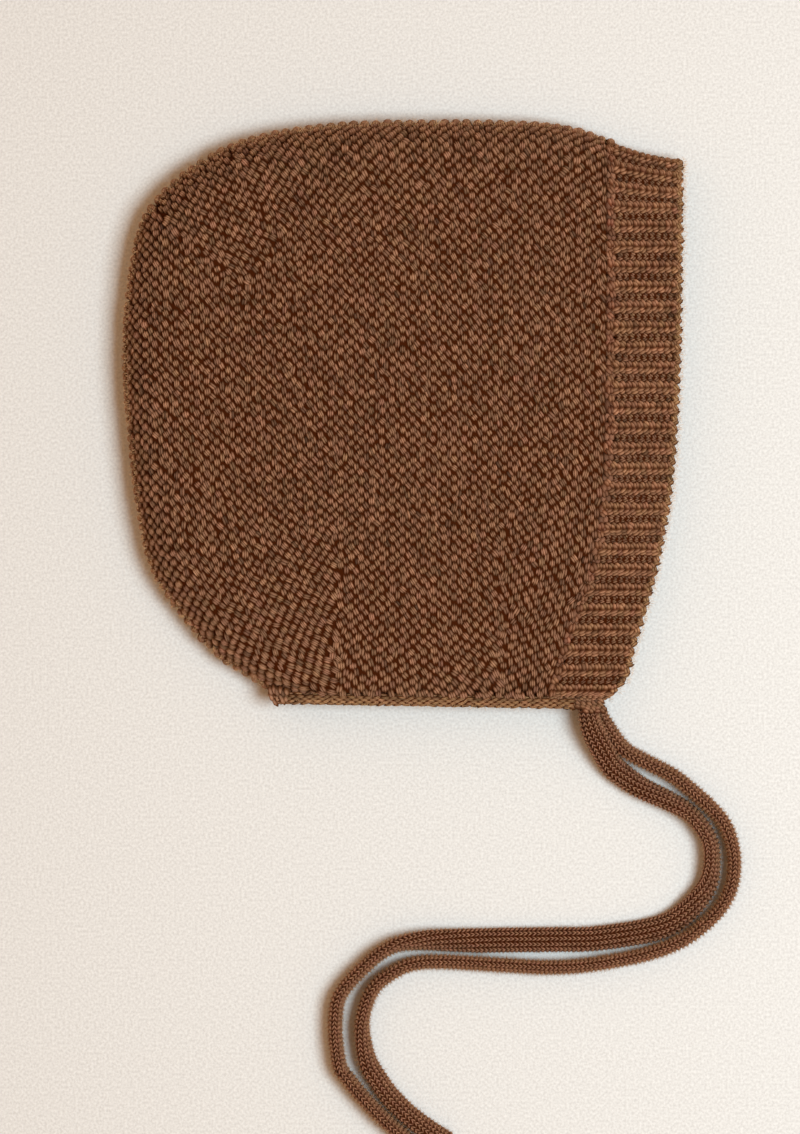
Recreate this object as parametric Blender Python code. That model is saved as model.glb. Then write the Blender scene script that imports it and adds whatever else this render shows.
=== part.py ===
"""A baby's knitted bonnet with two tie cords, lying folded flat on its side.

The bonnet is one knitted skin folded down the middle of the head. The fold runs over the top and
down the back, and the skin is open at the face (+X) and at the neck (-Y). +Y is the top of the
head and +Z is up from the surface that it lies on. The origin is under the middle of the bonnet.
"""

import math

import bmesh
import bpy
from mathutils import Vector

for old in list(bpy.data.objects):
    bpy.data.objects.remove(old, do_unlink=True)

# Driving sizes in metres.
LENGTH = 0.1522              # back of the head to the face edge, folded flat
HEIGHT = 0.1600              # neck edge to the top fold
CROWN_WALL = 0.0030          # thickness of the crown's garter knit
HEAD_HOLLOW = 0.0085         # clear height inside the middle of the crown
EDGE_HOLLOW = 0.0056         # clear height inside at the face and neck openings
FOLD_REACH = 0.0070          # how far in from the fold's inner face the hollow gains its height
BRIM_WALL = 0.0024           # thickness of the ribbed knit at any one place
RIB_RELIEF = 0.0008          # how far a rib stands out from the valley beside it
RIB_PITCH = 0.0055           # one raised rib and one valley
BRIM_TOP_DIP = 0.0008        # dip of the top fold half-way across the brim
EDGING_DEPTH = 0.0022        # depth of the chained edging round the neck
EDGING_WALL = 0.0030         # its thickness
EDGING_ROUND = 0.0004        # how far its corners are rounded back
NECK_RISE = 0.0025           # how much higher the neck edge lies at the back than at the face
TIE_DIAMETER = 0.0050        # a tie cord, as a round one of the same section
SEAM_GAP = 0.0003            # clearance between pieces that meet

# Shares of the bonnet's loft, length and height.
FOLD_LEVEL = 0.45            # level of the fold's outermost line, as a share of the loft there
FACE_EASE = 0.42             # share of the length over which the loft rises from the face edge
NECK_EASE = 0.38             # share of the height over which the loft rises from the neck edge
FIRST_RIB = 5 / 6            # place of the first rib past the fold, in ribs
RIB_FADE = 0.13              # share of the height in which the ribs turn level below the fold
CORNER_SPARE = 1.08          # spare length of the back-most section beyond its rounded part
BOW_FADE = 3                 # power by which the sections behind the join lose the join's bow

# Steps of the meshes.
CROWN_STEPS = 36             # sections from the brim to the back of the neck
ROUND_STEPS = 4              # steps over a quarter of the fold
FLAT_STEPS = 8               # steps from the fold's rounding to the neck edge
STEPS_PER_RIB = 6
LINE_STEPS = 12              # steps between two rows of a smooth line
BRIM_STEPS = 2               # steps across the brim
EDGING_STEPS = 10            # steps of the edging along the brim's own end
TIE_SPACING = 2.0            # distance between a tie's points, in tie diameters
TIE_SIDES = 2                # bevel resolution of a tie: eight sides
SHARP_EDGE = 50              # degrees from which an edge is shaded sharp

# The fold, from the brim's join over the top and down the back to the neck.
# Columns: share of LENGTH from the back, share of HEIGHT from the neck.
FOLD_ROWS = (
    (0.871, 0.969),
    (0.782, 0.993),
    (0.674, 0.9993),
    (0.567, 0.9997),
    (0.430, 0.997),
    (0.317, 0.988),
    (0.215, 0.967),
    (0.138, 0.931),
    (0.080, 0.889),
    (0.036, 0.837),
    (0.012, 0.755),
    (0.001, 0.650),
    (0.001, 0.555),
    (0.009, 0.463),
    (0.023, 0.349),
    (0.048, 0.241),
    (0.102, 0.160),
    (0.174, 0.085),
    (0.266, 0.030),
)

# The brim's join to the crown and its face edge.
# Columns: share of HEIGHT from the neck, share of LENGTH from the back.
JOIN_ROWS = (
    (0.969, 0.871),
    (0.780, 0.872),
    (0.520, 0.870),
    (0.370, 0.864),
    (0.258, 0.846),
    (0.182, 0.819),
    (0.107, 0.791),
    (0.015, 0.764),
)
FACE_ROWS = (
    (0.937, 1.000),
    (0.760, 0.999),
    (0.575, 0.995),
    (0.400, 0.984),
    (0.270, 0.962),
    (0.180, 0.939),
    (0.107, 0.916),
    (0.050, 0.900),
    (0.012, 0.862),
)
EDGING_FACE_END = 0.808      # share of LENGTH at which the edging ends, beside the ties

# Routes of the tie cords' middles in millimetres: x, y, height above the surface.
UPPER_TIE_ROUTE = (
    (50.5, -77.6, 8.9), (50.5, -79.2, 8.9), (51.5, -85.0, 7.9), (54.6, -91.4, 6.0),
    (57.6, -96.3, 3.9), (60.8, -99.0, 2.8), (65.2, -102.0, 2.6), (72.8, -105.6, 2.6),
    (78.8, -109.1, 2.6), (83.1, -114.3, 2.6), (84.8, -119.0, 2.6), (84.4, -126.5, 2.6),
    (82.1, -131.3, 2.6), (77.0, -136.5, 2.6), (70.0, -139.9, 2.6), (53.7, -142.6, 2.6),
    (42.9, -142.9, 2.6), (26.5, -143.1, 2.6), (15.6, -143.4, 2.6), (7.5, -143.7, 2.6),
    (-0.7, -144.8, 2.6), (-6.1, -147.5, 2.6), (-10.2, -151.0, 2.6), (-14.3, -155.1, 2.6),
    (-17.4, -159.5, 2.6), (-18.3, -164.0, 2.6), (-18.4, -170.0, 2.6), (-17.2, -178.5, 2.6),
    (-15.4, -181.2, 2.6), (-11.0, -186.7, 2.6), (-6.0, -191.9, 2.6), (-1.4, -196.1, 2.6),
    (3.8, -200.4, 2.6),
)
LOWER_TIE_ROUTE = (
    (52.6, -77.6, 2.6), (52.6, -79.2, 2.6), (54.2, -82.5, 2.6), (56.5, -86.0, 2.6),
    (58.9, -89.4, 2.6), (61.7, -92.2, 2.6), (69.2, -96.2, 2.6), (74.4, -98.9, 2.6),
    (79.6, -103.1, 2.6), (84.8, -107.8, 2.6), (88.6, -112.7, 2.6), (90.5, -118.6, 2.6),
    (90.9, -124.1, 2.6), (89.9, -129.8, 2.6), (87.1, -135.1, 2.6), (82.7, -139.6, 2.6),
    (76.6, -144.0, 2.6), (67.3, -147.5, 2.6), (53.7, -150.0, 2.6), (42.9, -150.8, 2.6),
    (26.5, -150.2, 2.6), (15.6, -149.7, 2.6), (7.5, -149.7, 2.6), (1.5, -150.7, 2.6),
    (-3.4, -153.2, 2.6), (-7.2, -156.2, 2.6), (-9.4, -159.8, 2.6), (-10.9, -165.0, 2.6),
    (-11.0, -170.0, 2.6), (-9.6, -177.0, 2.6), (-7.0, -181.6, 2.6), (-3.4, -186.7, 2.6),
    (1.9, -192.0, 2.6), (7.5, -196.2, 2.6), (13.2, -199.8, 2.6),
)
MM = 0.001

KNIT_BROWN = "#6B4530"
RIB_BROWN = "#734A33"
EDGE_BROWN = "#8A5A3A"
TIE_BROWN = "#764E36"
YARN_ROUGHNESS = 0.9

FOLD_OUTER_REACH = FOLD_REACH + CROWN_WALL


def plan_point(length_share, height_share):
    """A point of the flat outline, from shares of the length and the height."""
    return Vector(((length_share - 0.5) * LENGTH, (height_share - 0.5) * HEIGHT))


def smooth_curve(points, steps):
    """Points on a smooth curve that passes through the given ones."""
    ends = [points[0] * 2 - points[1]] + list(points) + [points[-1] * 2 - points[-2]]
    curve = []
    for a, b, c, d in zip(ends, ends[1:], ends[2:], ends[3:]):
        for step in range(steps):
            t = step / steps
            curve.append(((b * 2) + (c - a) * t + (a * 2 - b * 5 + c * 4 - d) * t * t
                          + (b * 3 - a - c * 3 + d) * t * t * t) * 0.5)
    curve.append(points[-1].copy())
    return curve


def spread(curve, count):
    """The given number of equal steps along a curve."""
    lengths = [0.0]
    for a, b in zip(curve, curve[1:]):
        lengths.append(lengths[-1] + (b - a).length)
    points = []
    segment = 0
    for step in range(count + 1):
        target = lengths[-1] * step / count
        while segment < len(curve) - 2 and lengths[segment + 1] < target:
            segment += 1
        span = lengths[segment + 1] - lengths[segment]
        points.append(curve[segment].lerp(curve[segment + 1], (target - lengths[segment]) / span))
    return points


def side_line(rows):
    """A smooth line down the bonnet through rows of height and length shares."""
    return smooth_curve([plan_point(length, height) for height, length in rows], LINE_STEPS)


def across_at(line, y):
    """The x at a height y of a line that runs down the bonnet."""
    for a, b in zip(line, line[1:]):
        if b.y <= y:
            return a.x + (b.x - a.x) * (a.y - y) / (a.y - b.y)
    return line[-1].x


def ease(share):
    """A smooth rise from 0 to 1."""
    share = min(1.0, max(0.0, share))
    return share * share * (3 - 2 * share)


def loft_at(point):
    """Full height of the flattened bonnet over a point of the plan."""
    face = (JOIN_TOP.x - point.x) / LENGTH / FACE_EASE
    neck = (point.y + HEIGHT / 2) / HEIGHT / NECK_EASE
    hollow = EDGE_HOLLOW + (HEAD_HOLLOW - EDGE_HOLLOW) * ease(face) * ease(neck)
    return hollow + 2 * CROWN_WALL


def raised(point, angle, inset, side):
    """A plan point lifted onto the upper (side 1) or lower (side -1) layer, inset from its skin."""
    loft = loft_at(point)
    level = FOLD_LEVEL * loft
    rise = loft - level if side > 0 else level
    return Vector((point.x, point.y, level + side * (rise - inset) * math.sin(angle)))


def reach_at(angle, inset):
    """Distance in from the fold's outline at an angle of its rounding."""
    return inset + (FOLD_OUTER_REACH - inset) * (1 - math.cos(angle))


def neck_y(x):
    """Height of the crown's neck edge, which rises a little to the back."""
    lowest = -HEIGHT / 2 + EDGING_DEPTH + SEAM_GAP
    return lowest + NECK_RISE * max(0.0, (EDGING_FACE_X - x) / LENGTH)


def make_material(name, colour):
    """A matt yarn of one colour, given as an sRGB hex value."""
    material = bpy.data.materials.new(name)
    material.use_nodes = True
    shader = material.node_tree.nodes["Principled BSDF"]
    srgb = [int(colour[k:k + 2], 16) / 255 for k in (1, 3, 5)]
    linear = [c / 12.92 if c <= 0.04045 else ((c + 0.055) / 1.055) ** 2.4 for c in srgb]
    shader.inputs["Base Color"].default_value = (*linear, 1)
    shader.inputs["Roughness"].default_value = YARN_ROUGHNESS
    shader.inputs["Metallic"].default_value = 0.0
    material.diffuse_color = (*linear, 1)
    return material


def walled_body(name, outer, inner, material):
    """One closed body between an outer and an inner grid of points, with all four rims closed."""
    bm = bmesh.new()
    loops = [[bm.verts.new(p) for p in out_row + in_row[::-1]] for out_row, in_row in zip(outer, inner)]
    count = len(loops[0])
    for a, b in zip(loops, loops[1:]):
        for k in range(count):
            after = (k + 1) % count
            bm.faces.new((a[k], a[after], b[after], b[k]))
    for loop in (loops[0], loops[-1]):
        for k in range(count // 2 - 1):
            bm.faces.new((loop[k], loop[k + 1], loop[count - 2 - k], loop[count - 1 - k]))
    bmesh.ops.recalc_face_normals(bm, faces=bm.faces)
    mesh = bpy.data.meshes.new(name)
    bm.to_mesh(mesh)
    bm.free()
    mesh.shade_smooth()
    mesh.set_sharp_from_angle(angle=math.radians(SHARP_EDGE))
    mesh.materials.append(material)
    body = bpy.data.objects.new(name, mesh)
    bpy.context.scene.collection.objects.link(body)
    return body


def crown_sections():
    """The ends and the inward normal of each section, from the brim's join to the back of the neck."""
    fold = spread(smooth_curve([plan_point(*row) for row in FOLD_ROWS], LINE_STEPS), CROWN_STEPS)
    normals = []
    for k in range(len(fold)):
        along = fold[min(k + 1, CROWN_STEPS)] - fold[max(k - 1, 0)]
        normals.append(Vector((-along.y, along.x)).normalized())
    face_end = Vector((JOIN_FOOT.x, neck_y(JOIN_FOOT.x)))
    last = fold[-1]
    back_run = FOLD_OUTER_REACH * CORNER_SPARE / normals[-1].x
    back_end = Vector((last.x + back_run, neck_y(last.x + back_run)))
    fold[-1].y = neck_y(last.x)
    return [(fold[k], face_end.lerp(back_end, k / CROWN_STEPS), normals[k]) for k in range(CROWN_STEPS + 1)]


def crown_point(section, fade, angle, flat, inset, side):
    """A point of the crown: round the fold by an angle, then a flat share of the way to the neck."""
    top, neck, normal = section
    span = (neck - top).dot(normal)
    share = (reach_at(angle, inset) + flat * (span - FOLD_OUTER_REACH)) / span
    point = top.lerp(neck, share)
    chord = JOIN_TOP.lerp(JOIN_FOOT, share)
    point.x += (across_at(JOIN_LINE, chord.y) - chord.x) * fade
    return raised(point, angle, inset, side)


def crown_row(section, fade, inset):
    """One section of the crown, from the lower neck edge over the fold to the upper neck edge."""
    steps = [(math.pi / 2 * k / ROUND_STEPS, 0.0) for k in range(ROUND_STEPS + 1)]
    steps += [(math.pi / 2, k / FLAT_STEPS) for k in range(1, FLAT_STEPS + 1)]
    lower = [crown_point(section, fade, angle, flat, inset, -1) for angle, flat in steps]
    upper = [crown_point(section, fade, angle, flat, inset, 1) for angle, flat in steps[1:]]
    return lower[::-1] + upper


def make_crown(sections):
    """The garter-knit crown, hollow, open at the brim's join and at the neck."""
    rows = {}
    for inset in (0.0, CROWN_WALL):
        rows[inset] = []
        for k, section in enumerate(sections):
            fade = (1 - k / CROWN_STEPS) ** BOW_FADE
            row = crown_row(section, fade, inset)
            shift = SEAM_GAP / 2 * fade
            rows[inset].append([p - Vector((shift, 0, 0)) for p in row])
    return walled_body("crown", rows[0.0], rows[CROWN_WALL], make_material("garter_knit", KNIT_BROWN))


def brim_column(drop, across):
    """Plan of the brim at a distance down from the fold and a share across from the join."""
    top = JOIN_TOP.lerp(FACE_TOP, across)
    top.y -= BRIM_TOP_DIP * 4 * across * (1 - across)
    fall = JOIN_TOP.y - top.y
    y = top.y - drop + fall * min(1.0, drop / (RIB_FADE * HEIGHT))
    join = across_at(JOIN_LINE, y) + SEAM_GAP / 2
    return Vector((join + (across_at(FACE_LINE, y) - join) * across, y)), top.y - y


def make_brim():
    """The ribbed brim, hollow, folded over at the top and open at the face and the neck."""
    radius = FOLD_OUTER_REACH
    half_loft = loft_at(FACE_TOP) / 2
    quarter = math.pi / 2 * math.sqrt((radius ** 2 + half_loft ** 2) / 2)
    total = quarter + JOIN_TOP.y - neck_y(JOIN_FOOT.x) - radius
    step = RIB_PITCH / STEPS_PER_RIB
    places = [k * step for k in range(int(total / step) + 1)]
    if total - places[-1] > step / 2:
        places.append(total)
    places[-1] = total
    signed = [(-place, -1) for place in places[:0:-1]] + [(place, 1) for place in places]
    outer = []
    inner = []
    for place, side in signed:
        walk = abs(place)
        turn = min(1.0, walk / quarter) * math.pi / 2
        drop = reach_at(turn, 0.0) + max(0.0, walk - quarter)
        rib = 0.5 + 0.5 * math.cos(2 * math.pi * (place / RIB_PITCH - FIRST_RIB))
        valley = RIB_RELIEF * (1 - rib)
        for rows, inset in ((outer, valley), (inner, valley + BRIM_WALL)):
            row = []
            for k in range(BRIM_STEPS + 1):
                across = k / BRIM_STEPS
                plan, reach = brim_column(drop, across)
                angle = math.acos(max(0.0, 1 - reach / radius))
                shifted, _ = brim_column(drop + reach_at(angle, inset) - reach_at(angle, 0.0), across)
                row.append(raised(shifted, angle, inset, side))
            rows.append(row)
    return walled_body("brim", outer, inner, make_material("rib_knit", RIB_BROWN))


def make_neck_edging(sections):
    """The chained edging along both neck edges and round the back of the neck."""
    join_end = sections[0][1].x

    def neck_path(inset, side):
        along_brim = []
        for k in range(EDGING_STEPS):
            x = EDGING_FACE_X + (join_end - EDGING_FACE_X) * k / EDGING_STEPS
            along_brim.append(raised(Vector((x, neck_y(x))), math.pi / 2, inset, side))
        along_crown = [crown_point(s, 0.0, math.pi / 2, 1.0, inset, side) for s in sections]
        return along_brim + along_crown

    def whole_path(inset):
        return (neck_path(inset, 1)[:-1] + crown_row(sections[-1], 0.0, inset)[::-1]
                + neck_path(inset, -1)[-2::-1])

    top = Vector((0, -SEAM_GAP, 0))
    middle = Vector((0, -SEAM_GAP - EDGING_DEPTH / 2, 0))
    bottom = Vector((0, -SEAM_GAP - EDGING_DEPTH, 0))
    rounded = whole_path(EDGING_ROUND)
    skin = whole_path(0.0)
    inner_rounded = whole_path(EDGING_WALL - EDGING_ROUND)
    inner_skin = whole_path(EDGING_WALL)
    outer = [[a + top, b + middle, a + bottom] for a, b in zip(rounded, skin)]
    inner = [[a + top, b + middle, a + bottom] for a, b in zip(inner_rounded, inner_skin)]
    return walled_body("neck_edging", outer, inner, make_material("chain_edging", EDGE_BROWN))


def make_tie(name, route):
    """A tie cord as a round tube: straight out of the brim, then along the rest of its route."""
    stops = [Vector(stop) * MM for stop in route]
    path = smooth_curve(stops[1:], LINE_STEPS)
    length = sum((b - a).length for a, b in zip(path, path[1:]))
    points = stops[:1] + spread(path, round(length / (TIE_SPACING * TIE_DIAMETER)))
    curve = bpy.data.curves.new(name, "CURVE")
    curve.dimensions = "3D"
    curve.bevel_depth = TIE_DIAMETER / 2
    curve.bevel_resolution = TIE_SIDES
    curve.use_fill_caps = True
    spline = curve.splines.new("POLY")
    spline.points.add(len(points) - 1)
    for spot, point in zip(spline.points, points):
        spot.co = (*point, 1)
    curve.materials.append(make_material(name + "_knit", TIE_BROWN))
    tie = bpy.data.objects.new(name, curve)
    bpy.context.scene.collection.objects.link(tie)
    return tie


JOIN_LINE = side_line(JOIN_ROWS)
FACE_LINE = side_line(FACE_ROWS)
JOIN_TOP = JOIN_LINE[0]
JOIN_FOOT = JOIN_LINE[-1]
FACE_TOP = FACE_LINE[0]
EDGING_FACE_X = plan_point(EDGING_FACE_END, 0.0).x

crown_layout = crown_sections()
make_crown(crown_layout)
make_brim()
make_neck_edging(crown_layout)
make_tie("tie_upper", UPPER_TIE_ROUTE)
make_tie("tie_lower", LOWER_TIE_ROUTE)
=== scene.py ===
# %% [markdown]
# # A baby's knitted bonnet, folded flat
# The bonnet lies on its side with its two tie cords in front of it. This lesson dresses the packed
# CAD solids, which have the right outline and walls, with the stitches that they leave out.
# The picture is shown in plain sRGB, so that a colour chosen here comes out as chosen.
# Every number of the bonnet is in millimetres and is turned to metres where a mesh is made.

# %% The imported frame
import math

import bpy
import numpy as np
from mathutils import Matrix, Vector
from mathutils.kdtree import KDTree


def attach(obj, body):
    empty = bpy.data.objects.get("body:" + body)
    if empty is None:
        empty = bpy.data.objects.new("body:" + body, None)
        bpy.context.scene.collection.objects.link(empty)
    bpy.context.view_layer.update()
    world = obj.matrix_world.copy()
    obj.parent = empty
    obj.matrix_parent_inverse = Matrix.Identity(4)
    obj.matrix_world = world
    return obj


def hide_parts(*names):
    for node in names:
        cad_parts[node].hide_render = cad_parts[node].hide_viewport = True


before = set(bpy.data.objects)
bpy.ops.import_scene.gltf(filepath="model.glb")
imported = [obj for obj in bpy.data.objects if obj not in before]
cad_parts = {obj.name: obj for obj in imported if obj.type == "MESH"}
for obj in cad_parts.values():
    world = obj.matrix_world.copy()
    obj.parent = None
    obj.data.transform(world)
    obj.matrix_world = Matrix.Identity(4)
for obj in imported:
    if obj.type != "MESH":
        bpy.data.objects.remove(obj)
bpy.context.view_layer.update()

bpy.context.scene.view_settings.view_transform = "Standard"
MM = 0.001
rng = np.random.default_rng(11)

# %% [markdown]
# ## The camera
# The bonnet is seen from straight above. A long lens high over the table keeps the fold, the brim
# and the cords free of perspective, as in a picture of flat clothes. The picture is taller than
# wide, so the lens is worked out from the height of the field that the tall side takes in.

# %% Camera
VIEW_CENTRE = (-0.7, -41.6)
VIEW_TALL = 308.6
CAMERA_HEIGHT = 1200.0
SENSOR = 36.0

camera_data = bpy.data.cameras.new("camera")
camera_data.sensor_fit = "VERTICAL"
camera_data.sensor_height = SENSOR
camera_data.lens = SENSOR * (CAMERA_HEIGHT - 12.0) / VIEW_TALL
camera_data.clip_end = 20.0
camera = bpy.data.objects.new("camera", camera_data)
camera.location = (VIEW_CENTRE[0] * MM, VIEW_CENTRE[1] * MM, CAMERA_HEIGHT * MM)
bpy.context.scene.collection.objects.link(camera)
bpy.context.scene.camera = camera
print("lens in mm:", round(camera_data.lens, 1))

# %% [markdown]
# ## A stitch's bump
# Knitting seen from close by is a field of short plump pieces of yarn that rise out of dark gaps.
# A bump map would shade them and leave the outline smooth, so each one is a small lozenge of its
# own: a ring sunk in the fabric, a ring that closes over it, and a tip. The knobs along the fold
# have one ring more, which makes them rounder. Numpy places thousands of copies at once, each with
# its own length, width, height and lean. Where the eye can tell the plies of the yarn apart, a
# stitch is two or three slanted lozenges side by side.

# %% One lozenge of yarn
LUMP_SIDES = 6
# Columns: spread and height of each ring, from the fabric up.
LUMP_RINGS = ((1.28, -0.35), (0.62, 0.72))
KNOB_RINGS = ((1.00, -0.45), (0.98, 0.20), (0.66, 0.76))


def unit_lump(rings, sides=LUMP_SIDES):
    """Points (along, across, up) and faces of one lozenge of size one."""
    points = []
    for spread, height in rings:
        for k in range(sides):
            turn = 2 * math.pi * k / sides
            points.append((math.cos(turn) * spread, math.sin(turn) * spread, height))
    points.append((0.0, 0.0, 1.0))
    faces = []
    for ring in range(len(rings) - 1):
        for k in range(sides):
            a, b = ring * sides + k, ring * sides + (k + 1) % sides
            faces.append((a, b, b + sides, a + sides))
    last = (len(rings) - 1) * sides
    tips = [(last + k, last + (k + 1) % sides, last + sides) for k in range(sides)]
    return np.array(points), np.array(faces), np.array(tips)


def unit(vectors):
    """The same directions with length one."""
    return vectors / np.maximum(np.linalg.norm(vectors, axis=-1, keepdims=True), 1e-9)


def new_piece(name, mesh):
    """An object of a mesh, in the scene."""
    piece = bpy.data.objects.new(name, mesh)
    bpy.context.scene.collection.objects.link(piece)
    return piece


def lumps_mesh(name, places, along, across, up, tone, hue, rings=LUMP_RINGS):
    """One mesh of many lozenges. along, across and up are half-axes in mm; tone varies the dye and also
    carries painted shade and painted highlight, and hue varies the dye. What lies on the table is pressed
    flat there."""
    shape, quads, tips = unit_lump(rings)
    count, size = len(places), len(shape)
    points = (places[:, None] + shape[None, :, 0:1] * along[:, None]
              + shape[None, :, 1:2] * across[:, None] + shape[None, :, 2:3] * up[:, None])
    points[..., 2] = np.maximum(points[..., 2], 0.0)
    starts = (np.arange(count) * size)[:, None, None]
    quads = (quads[None] + starts).reshape(-1, 4)
    tips = (tips[None] + starts).reshape(-1, 3)
    mesh = bpy.data.meshes.new(name)
    mesh.vertices.add(count * size)
    mesh.vertices.foreach_set("co", (points.reshape(-1) * MM).astype(np.float32))
    loops = np.concatenate([quads.reshape(-1), tips.reshape(-1)])
    mesh.loops.add(len(loops))
    mesh.loops.foreach_set("vertex_index", loops.astype(np.int32))
    mesh.polygons.add(len(quads) + len(tips))
    sizes = np.concatenate([np.full(len(quads), 4), np.full(len(tips), 3)])
    mesh.polygons.foreach_set("loop_start", (np.cumsum(sizes) - sizes).astype(np.int32))
    mesh.update(calc_edges=True)
    mesh.shade_smooth()
    # rise runs from a stitch's foot to its tip; by it the wool paints shade low down and a highlight at
    # the tip.
    values = {"tone": np.repeat(tone, size), "hue": np.repeat(hue, size),
              "rise": np.tile(np.clip(shape[:, 2] * 0.75 + 0.25, 0, 1), count)}
    for key, data in values.items():
        mesh.attributes.new(key, "FLOAT", "POINT").data.foreach_set("value", data.astype(np.float32))
    lengths = np.linalg.norm(along, axis=1)[:, None]
    widths = np.linalg.norm(across, axis=1)[:, None]
    shift = rng.uniform(0, 5, (count, 1))
    flat = np.stack([shape[None, :, 1] * widths, shape[None, :, 0] * lengths + shift], axis=-1)
    layer = mesh.uv_layers.new(name="yarn_mm")
    layer.data.foreach_set("uv", flat.reshape(-1, 2)[loops].reshape(-1).astype(np.float32))
    print(name, count, "stitch parts,", 2 * len(quads) + len(tips), "triangles")
    return new_piece(name, mesh)


loose_ends = []


def note_loose_ends(places, out, each, spread=0.8, steep=0.62):
    """Remembers where loose fibres can stand out sideways, each times for every stitch."""
    out = np.asarray(out, float)
    pick = np.linalg.norm(out[:, :2], axis=1) > steep
    starts = np.repeat(places[pick], each, axis=0)
    ways = np.repeat(out[pick], each, axis=0)
    loose_ends.append((starts + rng.normal(0, spread, starts.shape) * (1 - np.abs(ways) * 0.6), ways))


# Columns: place across a stitch, length, height, as shares of the stitch's own.
THREE_PLIES = ((-0.66, 0.78, 0.88), (0.0, 1.0, 1.0), (0.66, 0.78, 0.94))
TWO_PLIES = ((-0.46, 0.95, 0.84), (0.46, 0.95, 1.0))
# Half-width of a ply as a share of the stitch's, by the number of plies.
PLY_WIDE = {3: 0.50, 2: 0.64}


def split_plies(stitches, rows, lean_degrees):
    """Rows of (places, along, across, up, tone, hue) with each stitch split into slanted plies."""
    places, along, across, up, tone, hue = stitches
    long, wide = (np.linalg.norm(axis, axis=1)[:, None] for axis in (along, across))
    lean = np.radians(lean_degrees + rng.normal(0, 7, (len(places), 1)))
    way = along / long * np.cos(lean) + across / wide * np.sin(lean)
    side = across / wide * np.cos(lean) - along / long * np.sin(lean)
    parts = []
    for place, length, height in rows:
        grow = rng.normal(1, 0.08, (len(places), 1))
        parts.append((places + side * wide * place, way * long * length * grow,
                      side * wide * PLY_WIDE[len(rows)], up * height * grow,
                      tone + rng.normal(0, 1.2, len(places)), hue))
    return tuple(np.concatenate([part[k] for part in parts]) for k in range(6))


# %% [markdown]
# ## Yarn materials
# The yarn is fine wool, dyed brown and plied from two strands. Wool takes the light softly. The
# colour follows how high a point stands on its stitch: the deep red-brown low down is painted shade
# in the gaps, and the lighter tan that greys a little at the tip is a painted highlight. Each stitch
# is dyed a little differently. The fibres of a ply are a slanted grain. Real ones are 0.02 mm thick,
# and here they are drawn 0.35 mm apart, so that they still show.

# %% Helpers for materials
def linear(hex_colour):
    """An sRGB hex value as a linear colour."""
    srgb = [int(hex_colour[k:k + 2], 16) / 255 for k in (1, 3, 5)]
    return tuple(c / 12.92 if c <= 0.04045 else ((c + 0.055) / 1.055) ** 2.4 for c in srgb) + (1.0,)


def feed(tree, node, **links):
    """Puts links and values into a node's inputs, by name, or by i and a number."""
    for key, value in links.items():
        plain = key.replace("_", " ")
        socket = node.inputs[int(key[1:])] if key[0] == "i" and key[1:].isdigit() else node.inputs[plain]
        if isinstance(value, bpy.types.NodeSocket):
            tree.links.new(value, socket)
        else:
            socket.default_value = value


def add_node(tree, kind, settings=None, **links):
    """A node of a kind with its settings, links and values."""
    node = tree.nodes.new(kind)
    for key, value in (settings or {}).items():
        setattr(node, key, value)
    feed(tree, node, **links)
    return node


def new_material(name):
    """A material with its node tree and its shader."""
    material = bpy.data.materials.new(name)
    material.use_nodes = True
    return material, material.node_tree, material.node_tree.nodes["Principled BSDF"]


FIBRE_PITCH = 0.35
FIBRE_TURN = 24.0


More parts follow.
